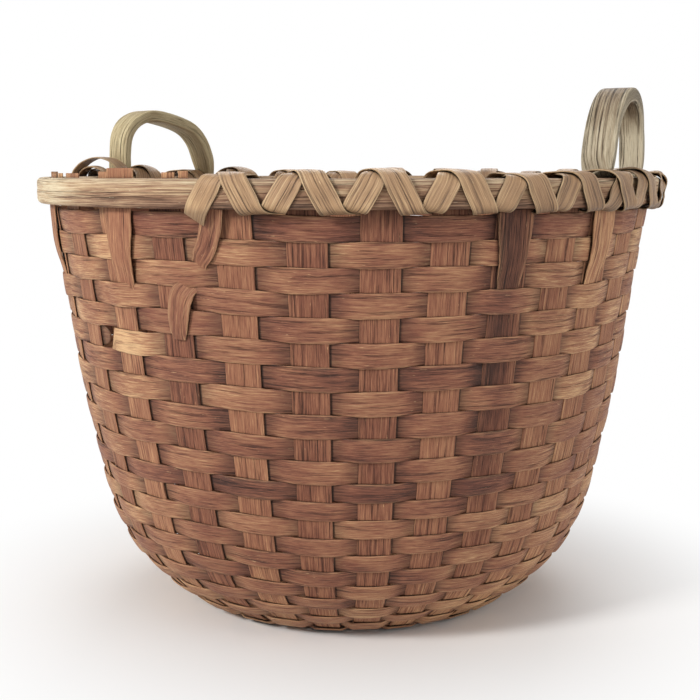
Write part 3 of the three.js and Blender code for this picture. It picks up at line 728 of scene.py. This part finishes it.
# A bow's points are shares of half its span and of its rise. tone is how brown it is, crest_tone how
# much browner on top, and far_width the share of its width that the last leg keeps.
handles = {
    "right": {
        "bearing": np.radians(62.5), "span": 0.094, "rise": 0.069, "far_width": 0.78,
        "bow": [(-1, 0.14), (-0.93, 0.4), (-0.72, 0.72), (-0.3, 0.95), (0.2, 1),
                (0.68, 0.91), (0.97, 0.65), (1.03, 0.35), (1, 0.14)],
        "tone": 0.12, "crest_tone": 0.42,
        "colours": ("#ddd1b4", "#b4a388", "#86725a", "#46392c"), "crack_colour": "#241c14",
    },
    "left": {
        "bearing": np.radians(-128.7), "span": 0.100, "rise": 0.064, "far_width": 0.95,
        "bow": [(-1, 0.14), (-0.91, 0.44), (-0.74, 0.7), (-0.42, 0.88), (0.28, 1),
                (0.7, 0.93), (0.93, 0.73), (0.99, 0.43), (1, 0.14)],
        "tone": 0.14, "crest_tone": 0.0,
        "colours": ("#dccda4", "#b6a17a", "#8c7454", "#4b3d2a"), "crack_colour": "#241c12",
    },
}


def leg_angle(span):
    """Half the angle between the two legs of a handle: the arcsine of half its span over its radius."""
    return np.arcsin(span / 2 / handle_radius)


def handle_sections(bearing, span, rise, bow, far_width, draw):
    """Rings of a rounded section carried up one tongue, over the bow and down the other. The section
    is a rectangle whose corners are rounded by a fifth of its thinner side. Its two broad faces have
    long hollows. It narrows to far_width of its width on the last leg, on its outer side. Also gives
    which corners of a section are arrises, and which face each is on."""
    plane = np.sqrt(handle_radius ** 2 - (span / 2) ** 2)
    reach, climb = span / 2, rise - handle_top_thickness / 2
    curve = smooth_through(np.array(bow) * (reach, climb) + (0, rim_height), 30)
    lengths = lengths_along(curve)
    even = np.linspace(0, lengths[-1], 130)
    curve = soften(np.stack([np.interp(even, lengths, curve[:, axis]) for axis in (0, 1)], 1), 2)
    slope = unit(np.gradient(curve, axis=0))
    share = np.linspace(0, 1, len(curve))
    twist = np.arctan2(curve[:, 0], plane) * share_between(np.abs(share - 0.5), 0.4, 0.5)
    middle = outward(bearing) * plane + sideways(bearing) * curve[:, :1]
    middle[:, 2] = curve[:, 1]
    across = sideways(bearing + twist) * slope[:, 1:]
    across[:, 2] = -slope[:, 0]
    out = outward(bearing + twist)
    thickness = handle_leg_thickness + (handle_top_thickness - handle_leg_thickness) * np.sin(np.pi * share)
    neck = share_between(np.minimum(share, 1 - share), 0, 0.09)
    trim = np.interp(share, (0, 0.45, 0.8, 1), (1, 1, far_width, far_width))
    middle -= out * ((1 - trim) * handle_width / 2)[:, None]
    width = handle_width * trim * (0.86 + 0.14 * np.sin(np.pi / 2 * neck))
    width = width * (1 + 0.03 * drift(even, 0.09, draw))
    tongues = []
    for side in (-1, 1):
        angle = bearing + side * leg_angle(span)
        down = np.append(np.linspace(tongue_length, 0, 5), [-0.008, -0.016])
        inside = np.vstack([
            on_wall(angle, down, -tongue_offset)[0],
            plan(angle, wall_radius - tongue_offset, hoop_top + clearance),
        ])
        count = len(inside)
        ways = [np.tile(way, (count, 1)) for way in (-side * sideways(angle), outward(angle))]
        tongues.append((inside, *ways, np.full(count, tongue_width), np.full(count, tongue_thickness)))
    parts = (tongues[0], (middle, across, out, thickness, width), [values[::-1] for values in tongues[1]])
    middle, across, out, thickness, width = (np.concatenate(values) for values in zip(*parts))
    corner = np.linspace(0, np.pi / 2, corner_points)
    rows = np.linspace(1, -1, face_points + 2)[1:-1]
    half_thick, half_wide = thickness[:, None] / 2, width[:, None] / 2
    cut = np.minimum(thickness, width)[:, None] * handle_corner_share
    arc_a, arc_b = cut * (1 - np.sin(corner)), cut * (1 - np.cos(corner))
    along = lengths_along(middle)
    hollow = soften(np.stack([drift(along, 0.16, draw) for row in rows]), 1).T * handle_hollow
    hollow = hollow * (width > tongue_width)[:, None]
    a = np.concatenate([half_thick - arc_a, half_thick + hollow, half_thick - arc_a[:, ::-1]], 1)
    b = np.concatenate([half_wide - arc_b, (half_wide - cut) * rows, arc_b[:, ::-1] - half_wide], 1)
    a, b = np.concatenate([a, -a], 1), np.concatenate([b, -b], 1)
    rings = middle[:, None] + across[:, None] * a[..., None] + out[:, None] * b[..., None]
    grain = np.stack([np.broadcast_to(along[:, None], a.shape), girth(a, b), np.ones_like(a)], -1)
    arris = np.tile(np.repeat([1.0, 0.0, 1.0], [corner_points, face_points, corner_points]), 2)
    return rings, grain, arris, np.sign(a)


draw = np.random.default_rng(61)
for side, ear in handles.items():
    # Bent ash gone grey, the left one yellower: long thin checks opened by bending and weather
    handle_wood = split_ash(
        f"bent_ash_{side}", ear["colours"], ear["crack_colour"],
        fibre=(0.020, 0.0005), ring=(0.08, 0.0014), shifts=(0.36, 0.24, 0.12),
        crack_share=1.0, tannin=0.05, bump=0.0010, roughness=0.60, gloss=0.26)
    rings, grain, arris, face = handle_sections(
        ear["bearing"], ear["span"], ear["rise"], ear["bow"], ear["far_width"], draw)
    tone = ear["tone"] + 0.12 * drift(grain[..., 0], 0.08, draw) + 0.10 * (face < 0)
    tone = tone + ear["crest_tone"] * share_between(rings[..., 2], 0.345, 0.365)
    dirt_and_shade, wear = 0.2 * share_between(rings[..., 2], 0.330, 0.310), 0.7 * arris[None, :]
    name = f"handle_{side}"
    piece = skin(name + "_ash", rings, grain, tone, dirt_and_shade, wear, handle_wood, draw.uniform(0, 90))
    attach(piece, "root")
    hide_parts(name)


# LASHING
# Thin inner-bark strips wound round both hoops, one to the right and one to the left, through the wall
# between the stakes and crossing on top above each stake. It has come off the left front of the rim.
lash_width, lash_thickness, lash_cup, loose_cup = 0.0152, 0.0010, 0.0003, 0.0004
lash_from, lash_to, lash_lengths = np.radians(-24), np.radians(262), 3
lash_start_share, lash_end_share, lash_square = 0.55, 0.4, 0.36
loop_points, turn_points, end_points = 97, 72, 20
hang_length, hang_lean, hang_points = 0.0115, 0.0045, 25
leg_bearings = np.array([
    ear["bearing"] + side * leg_angle(ear["span"]) for ear in handles.values() for side in (-1, 1)
])
# Half the width of a tongue or a leg and of the strip that passes beside it, as an angle
passing_width = 0.012
tongue_room = ((tongue_width + passing_width) / 2 + clearance) / inner_back
leg_room = ((handle_leg_thickness + passing_width) / 2 + 3 * clearance) / inner_back
lash_browning = np.array([
    (-180, 0.5), (-60, 0.45), (-20, 0.38), (20, 0.42), (40, 0.56), (60, 0.5), (100, 0.5), (180, 0.5),
])

# Inner bark and thin splint: tan, with straight parallel fibres, a slight sheen and frayed pale edges
lash_wood = split_ash(
    "bark_lashing", ("#dfc297", "#b5906a", "#8a6a4e", "#4b3729"), "#261b13",
    fibre=(0.030, 0.0005), ring=(0.09, 0.0012), shifts=(0.24, 0.24, 0.08),
    crack_share=0.8, tannin=0.05, bump=0.0006, roughness=0.46, gloss=0.42)


def from_legs(angle):
    """The signed angle to the nearest handle leg."""
    offsets = (angle - leg_bearings + np.pi) % (2 * np.pi) - np.pi
    return offsets[np.abs(offsets).argmin()]


def square_off(away, along):
    """The part of a direction that is square to a path, as a unit direction."""
    return unit(away - along * (away * along).sum(1)[:, None])


def lash_path(gaps, side, layer):
    """The middle of a strip that winds round both hoops. Each turn is a squared circle round the hoops
    from the bottom, up the inside, over the top and down the outside: the cosine and sine of its angle
    to the power of lash_square. The bearing grows evenly with the length of that path, from a gap to
    the crest above the stake and on to the next gap. Over the top the strip has slackened and stands
    proud, by the same amount for both directions, so that they never cut each other."""
    lift = clearance + lash_thickness / 2 + layer * (lash_thickness + clearance)
    outer, inner = rim_radius + lift, inner_back * np.cos(np.pi / hoop_flats) - lift
    top, bottom = hoop_top + lift, hoop_bottom - lift
    angle = -np.pi / 2 - 2 * np.pi * np.linspace(0, 1, loop_points)
    loop = np.stack([np.cos(angle), np.sin(angle)], 1)
    loop = np.sign(loop) * np.abs(loop) ** lash_square
    travel = lengths_along(loop * np.array([outer - inner, top - bottom]) / 2)
    travel /= travel[-1]
    ends = np.linspace(0, 1, turn_points + 1)[:-1]
    travels, bearings = [], []
    for one, other in zip(gaps[:-1], gaps[1:]):
        crest = (one + other) / 2
        offset = from_legs(crest)
        if abs(offset) < leg_room:
            crest = crest - side * leg_room - offset
        travels.append(ends + len(travels))
        bearings.append(np.interp(ends, (0, 0.5, 1), (one, crest, other)))
    last = np.linspace(0, lash_end_share / 2, end_points)
    travels.append(last + len(travels))
    bearings.append(gaps[-1] + side * ray_step * last)
    place, bearing = np.concatenate(travels), np.concatenate(bearings)
    keep = place > lash_start_share / 2
    place, bearing = place[keep], soften(bearing[keep], 3)
    reach = np.interp(place % 1, travel, loop[:, 0])
    rise = np.interp(place % 1, travel, loop[:, 1])
    # Slack that comes and goes along the rim, grows towards the back and bulges at the left handle
    slack = 0.0024 + 0.0014 * np.sin(bearing * 7 + 1.0) + 0.0008 * np.sin(bearing * 17 + 2.0)
    slack += 0.0008 * (1 - np.cos(bearing)) + 0.005 * hump(bearing, np.radians(234), 0.10)
    proud = slack * np.clip(rise, 0, 1) ** 3 * np.cos(np.pi / 2 * reach * 0.9)
    radius = (outer + inner) / 2 + reach * (outer - inner) / 2 + 0.0004 * np.clip(reach, 0, 1) ** 4
    height = (top + bottom) / 2 + rise * (top - bottom) / 2 + proud
    points = soften(outward(bearing, radius, height), 1)
    along = unit(np.gradient(points, axis=0))
    away = outward(bearing, np.sign(reach) * np.abs(reach) ** 3, np.sign(rise) * np.abs(rise) ** 3)
    away = soften(square_off(away, along), 1)
    return points, np.cross(away, along), away


def hang_down(middle, across, out):
    """Cuts a strip short where it last runs down the face of the outer hoop. From there it hangs on in
    its own direction and leans in to the wall, by the square of the share of its length."""
    outside = (np.hypot(middle[:, 0], middle[:, 1]) > rim_radius) & (middle[:, 2] > hoop_bottom + 0.003)
    last = np.flatnonzero(outside)[-1]
    onward = unit(middle[last] - middle[last - 1])
    share = np.linspace(0, 1, hang_points + 1)[1:, None]
    inward = -middle[last] * (1, 1, 0) / rim_radius
    hung = middle[last] + onward * hang_length * share + inward * hang_lean * share ** 2
    kept = [np.vstack([one[:last + 1], np.tile(one[last], (hang_points, 1))]) for one in (across, out)]
    return np.vstack([middle[:last + 1], hung]), *kept


gap_bearings = (stake_bearing(np.arange(stake_count)) + stake_bearing(np.arange(stake_count) + 1)) / 2
lash_gaps = gap_bearings[(gap_bearings >= lash_from - ray_step / 4) & (gap_bearings <= lash_to)]
lash_gaps = np.array([gap for gap in lash_gaps if abs(from_legs(gap)) > tongue_room])
cuts = [int(np.floor((len(lash_gaps) - 1) * step / lash_lengths + 0.5)) for step in range(lash_lengths + 1)]
draw = np.random.default_rng(77)
for way, gaps, side, layer in (("over", lash_gaps, 1, 1), ("under", lash_gaps[::-1], -1, 0)):
    for length in range(1, lash_lengths + 1):
        middle, across, out = lash_path(gaps[cuts[length - 1]:cuts[length] + 1], side, layer)
        if way == "under" and length == lash_lengths:
            middle, across, out = hang_down(middle, across, out)
        half = lash_width / 2 * (1 + 0.05 * drift(lengths_along(middle), 0.13, draw))
        rings, grain = carry_strip(middle, across, out, half, lash_thickness, lash_cup)
        height = rings[..., 2]
        tone = np.interp(np.degrees(bearing_of(rings)), *lash_browning.T)
        # Painted shade: the tone darkens and the dirt rises where the strip runs below the hoops, and its
        # inner face is darker
        tone = tone + 0.10 * drift(grain[..., 0], 0.05, draw) + 0.12 * share_between(height, 0.300, 0.294)
        dirt_and_shade = 0.02 + 0.35 * share_between(height, 0.298, 0.295) + 0.1 * (grain[..., 2] < 0)
        wear = edge_wear(grain, half, 0.9)
        name = f"lashing_{way}_{length}"
        piece = skin(name + "_bark", rings, grain, tone, dirt_and_shade, wear, lash_wood, draw.uniform(0, 90))
        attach(piece, "root")
        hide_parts(name)


# LOOSE END
# The end of the lashing where it has come off: it hangs down the wall, passes behind the third row
# and lies over the two below.
tail_points = 120
# Distance down the wall, bearing in degrees, how far out of the wall's middle, and width
tail = np.array([
    (-0.004, -21.1, 0.0060, 0.0150), (0.006, -21.6, 0.0045, 0.0148), (0.020, -22.9, 0.0037, 0.0135),
    (0.0265, -24.1, 0.0036, 0.0130), (0.0305, -24.9, 0.0006, 0.0130), (0.0350, -25.8, -0.0018, 0.0135),
    (0.0430, -27.0, -0.0006, 0.0150), (0.0480, -28.2, 0.0034, 0.0165), (0.052, -28.9, 0.0038, 0.0168),
    (0.064, -29.6, 0.0041, 0.0158), (0.074, -30.0, 0.0034, 0.0130), (0.079, -30.1, 0.0022, 0.0085),
])
down = np.linspace(tail[0, 0], tail[-1, 0], tail_points)
degrees, offset, width = (np.interp(down, tail[:, 0], values) for values in tail[:, 1:].T)
middle, out = on_wall(soften(np.radians(degrees), 5), down, soften(offset, 2))
across = np.cross(out, unit(np.gradient(middle, axis=0)))
rings, grain = carry_strip(middle, across, out, width / 2, lash_thickness, loose_cup)
tone, wear = wood_tone(rings, draw) + 0.05, edge_wear(grain, width / 2, 0.8)
piece = skin("lashing_loose_end", rings, grain, tone, 0.05, wear, weaver_wood, 7.0)
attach(piece, "root")


# LOOSE LOOPS
# At the left two turns of the lashing have sprung out of the rim beside the leg of the handle. One
# stands up in a high bow over both hoops, and the other crosses under it in a low one.
loop_middle, loop_reach = 0.2145, 0.017
# The bearings of the two ends in degrees, the width, and share of the way, radius and height
loops = {
    "lashing_loop_high": (-105.5, -111.5, 0.0150, [
        (0, 0.2318, 0.302), (0.12, 0.2330, 0.3125), (0.32, 0.2280, 0.3240), (0.50, 0.2165, 0.3302),
        (0.68, 0.2040, 0.3280), (0.84, 0.1965, 0.3200), (0.93, 0.1950, 0.3120), (1, 0.1955, 0.3020),
    ]),
    "lashing_loop_low": (-109.5, -104.0, 0.0125, [
        (0, 0.2314, 0.302), (0.14, 0.2320, 0.3110), (0.34, 0.2270, 0.3195), (0.52, 0.2165, 0.3232),
        (0.70, 0.2055, 0.3205), (0.86, 0.1995, 0.3150), (0.94, 0.1985, 0.3090), (1, 0.1985, 0.3020),
    ]),
}
for number, (name, (from_degrees, to_degrees, width, stations)) in enumerate(loops.items()):
    share, radius, height = smooth_through(stations, 16).T
    bearing = np.radians(from_degrees + (to_degrees - from_degrees) * share)
    middle = outward(bearing, radius, height)
    along = unit(np.gradient(middle, axis=0))
    # Away from the hoops: level at the outer and inner ends, and up over the middle
    level = np.clip((radius - loop_middle) / loop_reach, -1, 1)
    away = square_off(outward(bearing, level, np.sqrt(1.02 - level ** 2)), along)
    half = np.full(len(middle), width / 2)
    rings, grain = carry_strip(middle, np.cross(away, along), away, half, lash_thickness, loose_cup)
    tone, wear = 0.52 + 0.12 * drift(grain[..., 0], 0.05, draw), edge_wear(grain, half, 0.9)
    piece = skin(name, rings, grain, tone, 0.1, wear, lash_wood, 11.0 + number)
    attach(piece, "root")


# FLOOR, LIGHT AND CAMERA
# A plain matt white floor that keeps the basket's shadow and fades to the white of the backdrop, soft
# lamps at the front left, the right and the back, and a camera a little above the rim.
def seen_directly(tree):
    """1 for what the camera sees itself, in gloss or through glass: the largest of those flags."""
    flags = add(tree, "LightPath", {}).node.outputs
    seen = add(tree, "Math", {0: flags["Is Camera Ray"], 1: flags["Is Glossy Ray"]}, operation="MAXIMUM")
    return add(tree, "Math", {0: seen, 1: flags["Is Transmission Ray"]}, operation="MAXIMUM")


floor_reach, fade_from, fade_to = 6, 0.13, 0.36
floor_corners = [(-floor_reach, -floor_reach, 0), (floor_reach, -floor_reach, 0),
                 (floor_reach, floor_reach, 0), (-floor_reach, floor_reach, 0)]
floor_mesh = bpy.data.meshes.new("floor")
floor_mesh.from_pydata(floor_corners, [], [(0, 1, 2, 3)])
floor = bpy.data.objects.new("floor", floor_mesh)
bpy.context.scene.collection.objects.link(floor)
floor_paint = bpy.data.materials.new("matt_white_floor")
floor_paint.use_nodes = True
tree = floor_paint.node_tree
tree.nodes.clear()
spot = add(tree, "TexCoord", {}, "Object")
away = add(tree, "VectorMath", {0: spot}, "Value", operation="LENGTH")
fade = add(tree, "MapRange", {0: away, 1: fade_from, 2: fade_to, 3: 0.0, 4: 1.0},
           interpolation_type="SMOOTHSTEP")
shown = add(tree, "Math", {0: seen_directly(tree), 1: fade}, operation="MULTIPLY")
matt = add(tree, "BsdfDiffuse", {"Color": linear("#f4f3f1")})
white = add(tree, "Emission", {"Color": (1, 1, 1, 1), "Strength": 1.0})
mixed = add(tree, "MixShader", {0: shown, 1: matt, 2: white})
tree.links.new(mixed, tree.nodes.new("ShaderNodeOutputMaterial").inputs["Surface"])
floor_mesh.materials.append(floor_paint)

world = bpy.data.worlds.new("white_room")
bpy.context.scene.world = world
world.use_nodes = True
tree = world.node_tree
tree.nodes.clear()
backdrop = add(tree, "Background", {"Color": (1, 1, 1, 1), "Strength": 1.0})
ambient = add(tree, "Background", {"Color": (1, 1, 1, 1), "Strength": 0.33})
mixed = add(tree, "MixShader", {0: seen_directly(tree), 1: ambient, 2: backdrop})
tree.links.new(mixed, tree.nodes.new("ShaderNodeOutputWorld").inputs["Surface"])

lamp_target = np.array([0, 0, 0.18])
# The place of each lamp, its size and its power in watts
lamps = {
    "key_lamp": ((-1.5, -1.35, 1.3), 0.45, 38.0),
    "fill_lamp": ((1.6, -1.2, 0.9), 1.4, 14.0),
    "back_lamp": ((0.3, 1.7, 1.6), 1.4, 20.0),
}
for name, (place, size, power) in lamps.items():
    lamp = bpy.data.lights.new(name, "AREA")
    lamp.size, lamp.energy = size, power
    holder = bpy.data.objects.new(name, lamp)
    bpy.context.scene.collection.objects.link(holder)
    holder.location = place
    # A lamp shines along its own -Z, so it is tipped up from straight down and then turned to its aim
    aim = unit(lamp_target - place)
    holder.rotation_euler = (np.arccos(-aim[2]), 0, np.arctan2(aim[1], aim[0]) - np.pi / 2)

# The camera stands four rim radii from the axis, a little above the rim, and looks slightly down
camera_aside, camera_height, look_down = 0.0008, 0.3193, 8.5
lens = bpy.data.cameras.new("camera")
lens.sensor_width, lens.lens, lens.clip_start = 36.0, 61.56, 0.01
camera = bpy.data.objects.new("camera", lens)
bpy.context.scene.collection.objects.link(camera)
camera.location = (camera_aside, -4 * rim_radius, camera_height)
camera.rotation_euler = (np.radians(90 - look_down), 0, 0)
bpy.context.scene.camera = camera
bpy.context.scene.view_settings.view_transform = "Standard"
